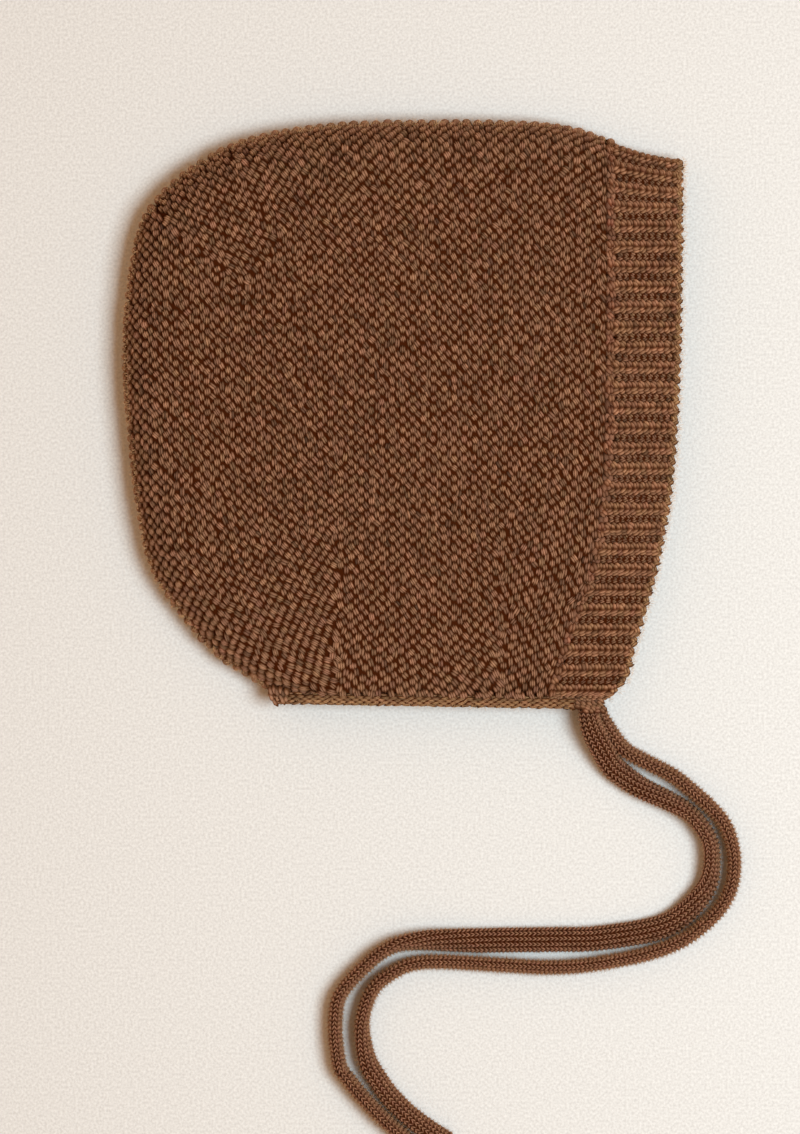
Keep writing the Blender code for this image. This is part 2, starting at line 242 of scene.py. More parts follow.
def plied_wool(name, painted_gap_shade, body, painted_tip_highlight, sheen_tint, roughness=0.9, sheen=0.12):
    """Dyed, plied and knitted wool yarn, with painted shade low on each stitch and a painted highlight at
    its tip.
    """
    material, tree, shader = new_material(name)
    rise = add_node(tree, "ShaderNodeAttribute", {"attribute_name": "rise"})
    tone = add_node(tree, "ShaderNodeAttribute", {"attribute_name": "tone"})
    hue = add_node(tree, "ShaderNodeAttribute", {"attribute_name": "hue"})
    # The ramp paints shade at the foot of each stitch and a highlight at its tip.
    ramp = add_node(tree, "ShaderNodeValToRGB", Fac=rise.outputs["Fac"])
    stops = ramp.color_ramp.elements
    stops[0].color = linear(painted_gap_shade)
    stops[1].color = linear(painted_tip_highlight)
    middle = stops.new(0.55)
    middle.color = linear(body)
    uv = add_node(tree, "ShaderNodeUVMap", {"uv_map": "yarn_mm"})
    turned = add_node(tree, "ShaderNodeMapping", Vector=uv.outputs["UV"],
                      Rotation=(0.0, 0.0, math.radians(FIBRE_TURN)))
    fibres = add_node(tree, "ShaderNodeTexWave", {"wave_type": "BANDS", "bands_direction": "X"},
                      Vector=turned.outputs["Vector"], Scale=math.pi / 10 / FIBRE_PITCH, Distortion=1.2,
                      Detail=1.0)
    fuzz = add_node(tree, "ShaderNodeTexNoise", Vector=uv.outputs["UV"], Scale=3.2, Detail=3.0)
    shade = add_node(tree, "ShaderNodeMapRange", Value=fibres.outputs["Fac"], To_Min=0.86, To_Max=1.12)
    # tone gives each stitch its own dye and, where it is set lower or higher on purpose, painted shade or
    # highlight.
    dye_and_shade = add_node(tree, "ShaderNodeMath", {"operation": "MULTIPLY_ADD"},
                   i0=tone.outputs["Fac"], i1=0.12, i2=1.0)
    value = add_node(tree, "ShaderNodeMath", {"operation": "MULTIPLY"},
                     i0=shade.outputs["Result"], i1=dye_and_shade.outputs[0])
    tint = add_node(tree, "ShaderNodeMath", {"operation": "MULTIPLY_ADD"},
                    i0=hue.outputs["Fac"], i1=0.003, i2=0.5)
    mixed = add_node(tree, "ShaderNodeHueSaturation", Color=ramp.outputs["Color"],
                     Hue=tint.outputs[0], Value=value.outputs[0])
    rough = add_node(tree, "ShaderNodeMath", {"operation": "MULTIPLY_ADD"},
                     i0=fibres.outputs["Fac"], i1=0.35, i2=0.0)
    grain = add_node(tree, "ShaderNodeMath", {"operation": "MULTIPLY_ADD"},
                     i0=fuzz.outputs["Fac"], i1=0.5, i2=rough.outputs[0])
    bump = add_node(tree, "ShaderNodeBump", Height=grain.outputs[0], Strength=0.6, Distance=0.00020)
    feed(tree, shader, Base_Color=mixed.outputs["Color"], Normal=bump.outputs["Normal"],
         Roughness=roughness, Specular_IOR_Level=0.08, Sheen_Weight=sheen, Sheen_Roughness=0.5,
         Sheen_Tint=linear(sheen_tint))
    print("material", name)
    return material


# %% [markdown]
# ## The tie cords
# Each tie is a narrow knitted tube, pressed flat by its own softness. It leaves the bonnet's front
# corner, lies in an S on the table and runs out of the picture at the bottom. A plain bevelled
# curve would be a rod, so the route is kept as points and the tube's V-shaped stitches are laid
# round it: flat where it runs straight, and on its edge where it bends.

# %% Routes of the ties
UPPER_TIE_ROUTE = (
    (50.5, -77.6, 8.9), (50.5, -79.2, 8.9), (51.5, -85.0, 7.9), (54.6, -91.4, 6.0),
    (57.6, -96.3, 3.9), (60.8, -99.0, 2.8), (65.2, -102.0, 2.6), (72.8, -105.6, 2.6),
    (78.8, -109.1, 2.6), (83.1, -114.3, 2.6), (84.8, -119.0, 2.6), (84.4, -126.5, 2.6),
    (82.1, -131.3, 2.6), (77.0, -136.5, 2.6), (70.0, -139.9, 2.6), (53.7, -142.6, 2.6),
    (42.9, -142.9, 2.6), (26.5, -143.1, 2.6), (15.6, -143.4, 2.6), (7.5, -143.7, 2.6),
    (-0.7, -144.8, 2.6), (-6.1, -147.5, 2.6), (-10.2, -151.0, 2.6), (-14.3, -155.1, 2.6),
    (-17.4, -159.5, 2.6), (-18.3, -164.0, 2.6), (-18.4, -170.0, 2.6), (-17.2, -178.5, 2.6),
    (-15.4, -181.2, 2.6), (-11.0, -186.7, 2.6), (-6.0, -191.9, 2.6), (-1.4, -196.1, 2.6),
    (3.8, -200.4, 2.6),
)
LOWER_TIE_ROUTE = (
    (52.6, -77.6, 2.6), (52.6, -79.2, 2.6), (54.2, -82.5, 2.6), (56.5, -86.0, 2.6),
    (58.9, -89.4, 2.6), (61.7, -92.2, 2.6), (69.2, -96.2, 2.6), (74.4, -98.9, 2.6),
    (79.6, -103.1, 2.6), (84.8, -107.8, 2.6), (88.6, -112.7, 2.6), (90.5, -118.6, 2.6),
    (90.9, -124.1, 2.6), (89.9, -129.8, 2.6), (87.1, -135.1, 2.6), (82.7, -139.6, 2.6),
    (76.6, -144.0, 2.6), (67.3, -147.5, 2.6), (53.7, -150.0, 2.6), (42.9, -150.8, 2.6),
    (26.5, -150.2, 2.6), (15.6, -149.7, 2.6), (7.5, -149.7, 2.6), (1.5, -150.7, 2.6),
    (-3.4, -153.2, 2.6), (-7.2, -156.2, 2.6), (-9.4, -159.8, 2.6), (-10.9, -165.0, 2.6),
    (-11.0, -170.0, 2.6), (-9.6, -177.0, 2.6), (-7.0, -181.6, 2.6), (-3.4, -186.7, 2.6),
    (1.9, -192.0, 2.6), (7.5, -196.2, 2.6), (13.2, -199.8, 2.6),
)


def smooth_line(points, steps=12):
    """Points on a smooth curve that passes through the given ones."""
    points = np.asarray(points, float)
    ends = np.vstack([2 * points[:1] - points[1:2], points, 2 * points[-1:] - points[-2:-1]])
    t = (np.arange(steps) / steps)[:, None]
    parts = []
    for a, b, c, d in zip(ends, ends[1:], ends[2:], ends[3:]):
        parts.append(0.5 * (2 * b + (c - a) * t + (2 * a - 5 * b + 4 * c - d) * t ** 2
                            + (3 * b - a - 3 * c + d) * t ** 3))
    return np.vstack(parts + [points[-1:]])


def run_of(line):
    """Distance along a line at each of its points."""
    return np.concatenate([[0.0], np.cumsum(np.linalg.norm(np.diff(line, axis=0), axis=1))])


def at_run(line, run):
    """Points of a line at given distances along it."""
    along = run_of(line)
    return np.stack([np.interp(run, along, line[:, k]) for k in range(line.shape[1])], axis=-1)


def ease(share):
    """A smooth rise from 0 to 1."""
    share = np.clip(share, 0.0, 1.0)
    return share * share * (3 - 2 * share)


# %% Tie sizes and the way they lie
TIE_WIDE = 7.1
TIE_THICK = 4.0
# Shares of the width and the thickness where the tie is gathered into the bonnet, over a length.
GATHER_WIDE, GATHER_THICK, GATHER_LONG = 0.80, 1.15, 14.0
CORE_INSET, LEG_INSET = 0.75, 0.62
# Height of the route's points where the tie lies on the table, and the gap left under it.
ROUTE_REST, TABLE_GAP = 2.6, 0.05
TIE_ROW = 1.21
TIE_COLUMNS = 10
LEG_LENGTH = 1.70
LEG_WIDTH = 0.44
LEG_HEIGHT = 0.55
LEG_LEAN = 29.0
LEG_DRAW = 0.05

# Columns: distance from the exit in mm, roll in degrees (0 is flat, 90 is on its edge), and how far
# the soft tube sags to the left of its route, seen along it.
UPPER_TIE_LIE = ((0, 0, 0), (22, 8, 0), (34, 40, 0), (48, 62, 0), (62, 58, 0), (76, 20, 0.2),
                 (88, 0, 0.9), (135, 0, 0.9), (150, 40, 0.2), (160, 76, 0), (185, 80, 0), (240, 78, 0))
LOWER_TIE_LIE = ((0, 60, 0), (20, 75, 0), (60, 84, 0), (90, 84, 0), (110, 84, 0.2), (130, 80, 0.6),
                 (150, 80, 0.3), (162, 84, 0), (185, 80, 0), (200, 50, 0), (240, 44, 0))


def tie_frame(route, lie_rows):
    """A dense route with the side and rise directions of the tie's flat section."""
    line = smooth_line(route)
    along = run_of(line)
    count = int(along[-1] / (TIE_ROW / 2)) + 1
    spots = np.linspace(0, along[-1], count)
    middle = at_run(line, spots)
    forward = unit(np.gradient(middle, axis=0))
    side = unit(np.cross(forward, (0.0, 0.0, 1.0)))
    rise = np.cross(side, forward)
    at, roll, sag = np.array(lie_rows, float).T
    roll = np.radians(np.interp(spots, at, roll))[:, None]
    wide = side * np.cos(roll) + rise * np.sin(roll)
    thin = rise * np.cos(roll) - side * np.sin(roll)
    tall = np.sqrt((TIE_WIDE / 2 * np.sin(roll)) ** 2 + (TIE_THICK / 2 * np.cos(roll)) ** 2)[:, 0]
    middle[:, 2] = np.maximum(middle[:, 2] - ROUTE_REST + TABLE_GAP, TABLE_GAP) + tall
    middle -= side * np.interp(spots, at, sag)[:, None]
    return spots, middle, forward, wide, thin


def tie_skin(shape, run, turn, inset):
    """Points of the tie's skin at distances along it and turns round it, with the ways out and on."""
    spots, middle, forward, wide, thin = shape
    pick = lambda data: np.stack([np.interp(run, spots, data[:, k]) for k in range(3)], axis=-1)
    w, t = unit(pick(wide)), unit(pick(thin))
    c, s = np.cos(turn)[:, None], np.sin(turn)[:, None]
    loose = ease(run / GATHER_LONG)[:, None]
    half_w = TIE_WIDE / 2 * (GATHER_WIDE + (1 - GATHER_WIDE) * loose) - inset
    half_t = TIE_THICK / 2 * (GATHER_THICK + (1 - GATHER_THICK) * loose) - inset
    out = unit(w * c / half_w + t * s / half_t)
    return pick(middle) + w * c * half_w + t * s * half_t, out, unit(pick(forward))


def even_turns(count):
    """Turns round the flat section at equal distances along its outline."""
    dense = np.linspace(0, 2 * math.pi, 721)
    outline = np.stack([np.cos(dense) * TIE_WIDE / 2, np.sin(dense) * TIE_THICK / 2], axis=-1)
    along = run_of(outline)
    return np.interp(np.arange(count) / count * along[-1], along, dense)


def tube_of(name, shape, inset, sides=20):
    """The dark core tube under a tie's stitches, closed at both ends."""
    spots = shape[0][::2]
    rings = []
    for turn in np.linspace(0, 2 * math.pi, sides, endpoint=False):
        rings.append(tie_skin(shape, spots, np.full(len(spots), turn), inset)[0])
    points = np.stack(rings, axis=1).reshape(-1, 3) * MM
    rows = len(spots)
    faces = []
    for start in range(0, (rows - 1) * sides, sides):
        for k in range(sides):
            a, b = start + k, start + (k + 1) % sides
            faces.append((a, a + sides, b + sides, b))
    faces += [tuple(range(sides)), tuple((rows - 1) * sides + k for k in reversed(range(sides)))]
    mesh = bpy.data.meshes.new(name)
    mesh.from_pydata([tuple(p) for p in points], [], faces)
    mesh.shade_smooth()
    return new_piece(name, mesh)


def tie_stitches(name, shape):
    """The V-shaped stitches of a tie: two legs a column in every row."""
    length = shape[0][-1]
    rows = np.arange(0.4, length - 0.3, TIE_ROW)
    turns = even_turns(TIE_COLUMNS * 2)
    run, leg = np.meshgrid(rows, np.arange(TIE_COLUMNS * 2), indexing="ij")
    run, leg = run.reshape(-1), leg.reshape(-1)
    turn = turns[leg] + np.where(leg % 2, -1, 1) * LEG_DRAW + rng.normal(0, 0.012, len(run))
    run = run + rng.normal(0, 0.04, len(run))
    places, out, forward = tie_skin(shape, run, turn, LEG_INSET)
    round_way = np.cross(forward, out)
    lean = np.radians(LEG_LEAN) * np.where(leg % 2, -1, 1) + rng.normal(0, 0.08, len(run))
    lean = lean[:, None]
    along = (forward * np.cos(lean) + round_way * np.sin(lean)) * LEG_LENGTH / 2
    across = (round_way * np.cos(lean) - forward * np.sin(lean)) * LEG_WIDTH / 2
    tip = out * LEG_HEIGHT - forward * 0.10
    count = len(run)
    note_loose_ends(places + out * 0.5, out, 8, 0.3, 0.8)
    return lumps_mesh(name, places, along, across, tip, rng.normal(0, 0.8, count), rng.normal(0, 1, count))


# %% [markdown]
# The legs of a stitch lean towards each other and meet in a V that points back to the bonnet. The
# core below them is coloured dark as painted shade, because what shows of it is only the gaps.

# %% Both ties
# Each plied wool's first colour is painted shade in the gaps and its last a painted highlight on the tips.
tie_wool = plied_wool("wool_plied_tube_knit", "#341304", "#7E5038", "#AE8268", "#E0A868")
# One dark colour, painted shade, for the tie cores and the backing skins seen through the gaps.
gap_shadow_wool = plied_wool("wool_gap_shadow", "#4A1D03", "#4A1D03", "#4A1D03", "#8A5A34", 0.95, 0.0)


def put_on(piece, node, material):
    """Fixes a piece to the bonnet, in a material and in place of one of its solids."""
    piece.data.materials.append(material)
    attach(piece, "root")
    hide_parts(node)


for node, route, lie in (("tie_upper", UPPER_TIE_ROUTE, UPPER_TIE_LIE),
                         ("tie_lower", LOWER_TIE_ROUTE, LOWER_TIE_LIE)):
    shape = tie_frame(route, lie)
    core = tube_of(node + "_core", shape, CORE_INSET)
    knit = tie_stitches(node + "_knit", shape)
    put_on(core, node, gap_shadow_wool)
    put_on(knit, node, tie_wool)
    knit.parent = core
    knit.matrix_parent_inverse = core.matrix_world.inverted()
    print(node, "is", round(float(shape[0][-1]), 1), "mm long")

# %% [markdown]
# ## The bonnet's outline and layers
# The crown is one skin folded over the top and down the back. These are the same outline and
# heights as the CAD solids have. A point of the flat pattern near the fold is rolled round it, so
# stitches keep their spacing where the skin turns away from the eye.

# %% Outline
LENGTH, HEIGHT = 152.2, 160.0
WALL, HEAD_HOLLOW, EDGE_HOLLOW, FOLD_ROUND = 3.0, 8.5, 5.6, 10.0
FOLD_LEVEL, FACE_EASE, NECK_EASE = 0.45, 0.42, 0.38
EDGING_DEPTH, SEAM, NECK_RISE = 2.2, 0.3, 2.5

# Columns: share of LENGTH from the back, share of HEIGHT from the neck.
FOLD_ROWS = (
    (0.871, 0.969), (0.782, 0.993), (0.674, 0.9993), (0.567, 0.9997), (0.430, 0.997),
    (0.317, 0.988), (0.215, 0.967), (0.138, 0.931), (0.080, 0.889), (0.036, 0.837),
    (0.012, 0.755), (0.001, 0.650), (0.001, 0.555), (0.009, 0.463), (0.023, 0.349),
    (0.048, 0.241), (0.102, 0.160), (0.174, 0.085), (0.266, 0.030),
)
# Columns: share of HEIGHT from the neck, share of LENGTH from the back.
JOIN_ROWS = ((0.969, 0.871), (0.780, 0.872), (0.520, 0.870), (0.370, 0.864), (0.258, 0.846),
             (0.182, 0.819), (0.107, 0.791), (0.015, 0.764))
FACE_ROWS = ((0.937, 1.000), (0.760, 0.999), (0.575, 0.995), (0.400, 0.984), (0.270, 0.962),
             (0.180, 0.939), (0.107, 0.916), (0.050, 0.900), (0.012, 0.862))
EDGING_FACE_X = (0.808 - 0.5) * LENGTH


def plan(rows):
    """Plan points from shares of the length and the height."""
    return (np.array(rows, float) - 0.5) * (LENGTH, HEIGHT)


fold = smooth_line(plan(FOLD_ROWS))
start_way, end_way = unit(fold[0] - fold[1]), unit(fold[-1] - fold[-2])
FOLD_TAIL = 25.0
fold = np.vstack([fold[0] + start_way * FOLD_TAIL, fold, fold[-1] + end_way * FOLD_TAIL])
join_line = smooth_line(plan([(b, a) for a, b in JOIN_ROWS]))
face_line = smooth_line(plan([(b, a) for a, b in FACE_ROWS]))
JOIN_TOP, FACE_TOP = join_line[0], face_line[0]


def line_x(line, y):
    """The x of a line that runs down the bonnet, at heights y."""
    return np.interp(-np.asarray(y), -line[:, 1], line[:, 0])


def neck_y(x):
    """Height of the crown's neck edge."""
    return -HEIGHT / 2 + EDGING_DEPTH + SEAM + NECK_RISE * np.maximum(0.0, (EDGING_FACE_X - x) / LENGTH)


def loft_at(x, y):
    """Full height of the flattened bonnet over a point of the plan."""
    face = ease((JOIN_TOP[0] - x) / LENGTH / FACE_EASE)
    neck = ease((y + HEIGHT / 2) / HEIGHT / NECK_EASE)
    return EDGE_HOLLOW + (HEAD_HOLLOW - EDGE_HOLLOW) * face * neck + 2 * WALL


def near_fold(points):
    """The nearest point of the fold line, the way in from it and the distance inside it."""
    a, b = fold[:-1], fold[1:]
    way = unit(b - a)
    long = np.linalg.norm(b - a, axis=1)
    t = np.clip(((points[:, None] - a) * way).sum(-1), 0, long)
    foot = a + way * t[..., None]
    gap = np.linalg.norm(points[:, None] - foot, axis=-1)
    k = gap.argmin(axis=1)
    rows = np.arange(len(points))
    foot, t = foot[rows, k], t[rows, k]
    vertex_way = unit(np.vstack([way[:1], way[:-1] + way[1:], way[-1:]]))
    share = (t / long[k])[:, None]
    smooth_way = unit(vertex_way[k] * (1 - share) + vertex_way[k + 1] * share)
    inward = np.stack([-smooth_way[:, 1], smooth_way[:, 0]], axis=-1)
    return foot, inward, ((points - foot) * inward).sum(-1)


def crown_skin(points, side, inset):
    """Rolls points of the flat pattern onto the upper (1) or lower (-1) layer. Also says how far in
    from the fold's outermost line each one is, along the skin."""
    foot, inward, inside = near_fold(points)
    loft = loft_at(points[:, 0], points[:, 1])
    level = FOLD_LEVEL * loft
    rise = loft - level if side > 0 else level
    quarter = math.pi / 2 * np.sqrt((FOLD_ROUND ** 2 + rise ** 2) / 2)
    along = inside + quarter - FOLD_ROUND
    angle = np.clip(along / quarter, 0, 1) * math.pi / 2
    reach = inset + (FOLD_ROUND - inset) * (1 - np.cos(angle))
    reach = np.where(along < quarter, reach, inside)
    flat = points + inward * (reach - inside)[:, None]
    z = level + side * (rise - inset) * np.sin(angle)
    return np.column_stack([flat, z]), along


# %% [markdown]
# ## The crown's garter stitch
# Garter stitch shows ridges of purl bumps. Here the ridges run from the top fold down to the neck,
# parallel to the face. Each ridge is two sets of bumps, the second half a stitch on and a little
# lower. Where the knitter took stitches away the ridges meet in slanted lines: one from the upper
# back corner, and two above the neck. So the field is one smooth lattice with those lines cut in.
# Along the fold the bumps are seen from the side, as round knobs.

# %% The lattice of the ridges
RIDGE_PITCH = 2.80
STITCH_PITCH = 2.75
FIRST_RIDGE_X = 53.2
PATTERN_TOP = 84.2
BACK_MITRE_X, FRONT_MITRE_X = -18.6, 26.5

# Columns: x, how far a row of stitches sags there.
ARCH = np.array(((-85, -6.0), (-55, -4.1), (-28, -2.0), (0, -0.5), (21, 0.0), (37, -0.3), (54, -1.4)))
# Columns: ridge, how far its top end leans back.
LEAN = np.array(((0, -0.3), (8, 1.9), (16, 3.9), (24, 7.6), (32, 10.8), (60, 14.0)))
# Columns: x, how far the mitres lift a row of stitches above the neck.
LIFT = np.array(((-76, -2.2), (-60, -2.0), (-47, -1.7), (-18.6, 2.9), (4.2, 0.0), (26.5, 2.1), (54, -2.8)))


def bent(table, x):
    """A value read between the rows of a short table."""
    return np.interp(x, table[:, 0], table[:, 1])


quarter_top = math.pi / 2 * math.sqrt((FOLD_ROUND ** 2 + (loft_at(0, 60) * (1 - FOLD_LEVEL)) ** 2) / 2)
fold_way = unit(np.gradient(fold, axis=0))
pattern_edge = fold + np.stack([fold_way[:, 1], -fold_way[:, 0]], axis=-1) * (quarter_top - FOLD_ROUND)
top_part = pattern_edge[pattern_edge[:, 1] > 45][::-1]

# Depths below the top edge over which a ridge comes upright, before and after BACK_RIDGES.
UPRIGHT_DEPTH, UPRIGHT_SHORTER, TOP_EDGE_DEPTH = 46.0, 18.0, 40.0
# The ridges from 24 to 32 turn into the back's, and those after 32 take no more of the top edge's fall.
BACK_RIDGES, LAST_TOP_RIDGE, RIDGE_BLEND = 24, 32, 8
# Height where the mitres start, and the depth over which they part the panels.
MITRE_TOP, MITRE_BLEND = -28.0, 12.0
# Heights where the lift, the back's inward curve and the middle's fan start, each with its depth.
LIFT_TOP, LIFT_DEPTH = -7.0, 41.0
BACK_TOP, BACK_DEPTH, BACK_CURVE = -12.5, 65.3, 22.3
FAN_TOP, FAN_DEPTH, FAN_SPREAD, FAN_MIDDLE, FAN_HALF = -53.3, 24.5, 5.4, 4.2, 19.0


def main_field(u, v, panel):
    """Where stitch v of ridge u lies on the flat pattern, in the back, middle or front panel."""
    x0 = FIRST_RIDGE_X - RIDGE_PITCH * u
    lean = bent(LEAN, u)
    late = ease((u - BACK_RIDGES) / RIDGE_BLEND)
    depth = v * STITCH_PITCH
    fall = np.clip(1 - depth / (UPRIGHT_DEPTH - UPRIGHT_SHORTER * late), 0, 1) ** (1.5 - 0.4 * late)
    x = x0 - lean * fall
    drop = np.interp(x0 - lean, top_part[:, 0], top_part[:, 1]) - PATTERN_TOP - bent(ARCH, x0)
    drop = drop * (1 - ease((u - LAST_TOP_RIDGE) / RIDGE_BLEND))
    y = PATTERN_TOP + bent(ARCH, x0) - depth + drop * np.clip(1 - depth / TOP_EDGE_DEPTH, 0, 1) ** 1.5
    low = ease((LIFT_TOP - y) / LIFT_DEPTH)
    split = ease((MITRE_TOP - y) / MITRE_BLEND)
    back = np.clip((BACK_TOP - y) / BACK_DEPTH, 0, 1.2) ** 2.5 * BACK_CURVE
    front = line_x(join_line, y) - JOIN_TOP[0]
    fan = np.clip((FAN_TOP - y) / FAN_DEPTH, 0, 1.3) ** 2 * FAN_SPREAD * (x0 - FAN_MIDDLE) / FAN_HALF
    back_share = 1 - ease((x0 + 44) / 25)
    front_share = ease((x0 - 7) / 38)
    back_share = back_share + ((panel == 0) - back_share) * split
    front_share = front_share + ((panel == 2) - front_share) * split
    x = x + back * back_share + front * front_share + fan * (panel == 1) * split
    return np.stack([x, y + bent(LIFT, x) * low], axis=-1)


CORNER_RIDGE, CORNER_STITCH, CORNER_LEAN = 2.85, 2.70, math.radians(17)
CORNER_FIRST_RIDGE = 22
# The ridge and stitch that lie at the middle of the corner panel's lattice.
CORNER_MIDDLE, MIDDLE_RIDGE, MIDDLE_STITCH = (-60.0, 60.0), 38, 30


def corner_field(u, v, panel):
    """The same for the panel above the upper back corner's slanted line: a straight, turned lattice."""
    c, s = math.cos(CORNER_LEAN), math.sin(CORNER_LEAN)
    ridge = (MIDDLE_RIDGE - u)[:, None] * CORNER_RIDGE * np.array((c, s))
    return CORNER_MIDDLE + ridge + (v - MIDDLE_STITCH)[:, None] * CORNER_STITCH * np.array((s, -c))


CORNER_PANEL = np.array(((-82.3, 69.1), (-70.1, 56.9), (-45.6, 33.7), (-38.2, 38.6), (-33.1, 46.0),
                         (-34.1, 48.7), (-37.1, 56.9), (-40.7, 65.0), (-46.4, 71.8), (-49.1, 90.0),
                         (-90.0, 90.0)))


def inside_of(polygon, points):
    """True for the points that lie inside a polygon."""
    inside = np.zeros(len(points), bool)
    for (ax, ay), (bx, by) in zip(polygon, np.roll(polygon, -1, axis=0)):
        crosses = (ay > points[:, 1]) != (by > points[:, 1])
        edge = ax + (points[:, 1] - ay) / (by - ay + 1e-12) * (bx - ax)
        inside ^= crosses & (points[:, 0] < edge)
    return inside


def edge_gap(polygon, points):
    """How far each point lies from a polygon's outline."""
    gaps = []
    for a, b in zip(polygon, np.roll(polygon, -1, axis=0)):
        share = np.clip(((points - a) @ (b - a)) / ((b - a) @ (b - a)), 0, 1)[:, None]
        gaps.append(np.linalg.norm(points - a - (b - a) * share, axis=1))
    return np.min(gaps, axis=0)


# %% Stitches of the crown
# Half-sizes of the bumps of the two sets, and how far the second is sunk.
BUMP_HIGH = dict(long=1.36, wide=0.76, tall=0.96, sink=0.0)
BUMP_LOW = dict(long=1.36, wide=0.68, tall=0.86, sink=0.14)
PLY_LEAN = 22.0
# Spacing of the knobs along the top and down the back, their place, and half-sizes as shares of it.
TOP_KNOB, BACK_KNOB, KNOB_IN = 3.10, 2.45, 0.35
KNOB = dict(long=0.47, wide=0.50, tall=0.55)
# Distance inside the fold's outermost line where the bumps of the upper and the lower layer start.
KNOB_ROOM, LOWER_ROOM = 1.25, 1.1
# How far the bumps run on past the neck edge, and stop short of the join and of each other.
NECK_LAP, JOIN_GAP, LEAST_GAP = 0.7, 0.9, 1.28
NECK_LIFT = 0.35
PANEL_LAP = 0.9
BACKING_INSET = 0.72


def lattice():
    """Every bump of a layer: its ridge, stitch, set and panel."""
    u1, v1 = np.meshgrid(np.arange(-1, 52), np.arange(0, 66), indexing="ij")
    sets = []
    for shift in (0.0, 0.5):
        sets.append(np.column_stack([u1.reshape(-1) + shift, v1.reshape(-1) + shift,
                                     np.full(u1.size, shift * 2)]))
    uv = np.vstack(sets)
    found = []
    for panel in range(4):
        field = corner_field if panel == 3 else main_field
        u, v, low = uv[uv[:, 0] >= CORNER_FIRST_RIDGE].T if panel == 3 else uv.T
        spot = field(u, v, panel)
        corner, near = inside_of(CORNER_PANEL, spot), edge_gap(CORNER_PANEL, spot) < PANEL_LAP
        if panel == 3:
            keep = corner | near
        else:
            bounds = ((-200, BACK_MITRE_X), (BACK_MITRE_X, FRONT_MITRE_X), (FRONT_MITRE_X, 200))[panel]
            keep = ~corner | near
            keep &= (spot[:, 0] > bounds[0] - PANEL_LAP) & (spot[:, 0] <= bounds[1] + PANEL_LAP)
        found.append(np.column_stack([u, v, low, np.full(len(u), panel)])[keep])
    return np.vstack(found)


def field_at(rows, du=0.0, dv=0.0):
    """Pattern points of lattice rows, moved on by shares of a ridge and a stitch."""
    spots = np.zeros((len(rows), 2))
    for panel in range(4):
        pick = rows[:, 3] == panel
        field = corner_field if panel == 3 else main_field
        spots[pick] = field(rows[pick, 0] + du, rows[pick, 1] + dv, panel)
    return spots


def thin_out(points, order, least):
    """Leaves out each point that is nearer than least to one before it."""
    tree = KDTree(len(points))
    for k, p in enumerate(points):
        tree.insert((p[0], p[1], 0.0), k)
    tree.balance()
    keep = np.ones(len(points), bool)
    for k in order:
        if keep[k]:
            for _, other, _ in tree.find_range((points[k][0], points[k][1], 0.0), least):
                if other != k:
                    keep[other] = False
    return keep


def at_neck(spots):
    """Pattern points with those of the last row drawn up to the neck edge."""
    line = neck_y(spots[:, 0]) + NECK_LIFT
    return np.column_stack([spots[:, 0], np.maximum(spots[:, 1], line)])


def crown_stitches(name, side):
    """One layer of the crown as bumps of yarn."""
    rows = lattice()
    spots = field_at(rows)
    _, inside = crown_skin(spots, side, 0.0)
    keep = inside > (KNOB_ROOM if side > 0 else LOWER_ROOM)
    keep &= spots[:, 1] > neck_y(spots[:, 0]) - NECK_LAP
    keep &= spots[:, 0] < line_x(join_line, spots[:, 1]) - JOIN_GAP
    rows, spots = rows[keep], at_neck(spots[keep])
    order = np.argsort(rows[:, 2] + (rows[:, 3] == 3) * 0.5, kind="stable")
    keep = thin_out(spots, order, LEAST_GAP)
    rows = rows[keep]
    count = len(rows)
    jitter = rng.normal(0, 0.048, (count, 2))
    rows[:, :2] += jitter
    spots = field_at(rows)
    places, inside = crown_skin(spots, side, BACKING_INSET)
    step = 0.05
    down = crown_skin(field_at(rows, 0, step), side, BACKING_INSET)[0] - places
    back = crown_skin(field_at(rows, -step, 0), side, BACKING_INSET)[0] - places
    places[:, :2] += at_neck(spots) - spots
    out = unit(np.cross(back, -down)) * side
    along_way = unit(down)
    across_way = np.cross(out, along_way)
    stitch = np.linalg.norm(down, axis=1) / step / STITCH_PITCH
    ridge = np.linalg.norm(back, axis=1) / step / RIDGE_PITCH
    low = rows[:, 2] > 0.5
    edge = ease(1 - inside / 4.0)
    pick = lambda key: np.where(low, BUMP_LOW[key], BUMP_HIGH[key])
    size = rng.normal(1, 0.08, count)
    long = pick("long") * np.clip(stitch, 0.7, 1.25) * size
    wide = pick("wide") * np.clip(ridge, 0.7, 1.2) * (1 + 0.35 * edge) * rng.normal(1, 0.06, count)
    tall = pick("tall") * (1 + (0.65 - 0.45 * low) * edge) * rng.normal(1, 0.06, count)
    lean = (np.radians(-4) + rng.normal(0, 0.17, count))[:, None] * side
    along = (along_way * np.cos(lean) + across_way * np.sin(lean)) * long[:, None]
    across = (across_way * np.cos(lean) - along_way * np.sin(lean)) * wide[:, None]
    note_loose_ends(places + out * 0.8, out, 15, 0.6, 0.8)
    places = places - out * pick("sink")[:, None]
    up = out * tall[:, None] + across_way * rng.normal(0, 0.06, (count, 1))
    # The lower, sunk set of bumps is toned darker as painted shade.
    tone = rng.normal(0, 0.8, count) - low * 1.2
    stitches = (places, along, across, up, tone, rng.normal(0, 1, count))
    if side < 0:
        return [lumps_mesh(name, *stitches)]
    high_set, low_set = ([data[pick] for data in stitches] for pick in (~low, low))
    return [lumps_mesh(name + "_high", *split_plies(high_set, THREE_PLIES, PLY_LEAN)),
            lumps_mesh(name + "_low", *split_plies(low_set, TWO_PLIES, PLY_LEAN))]


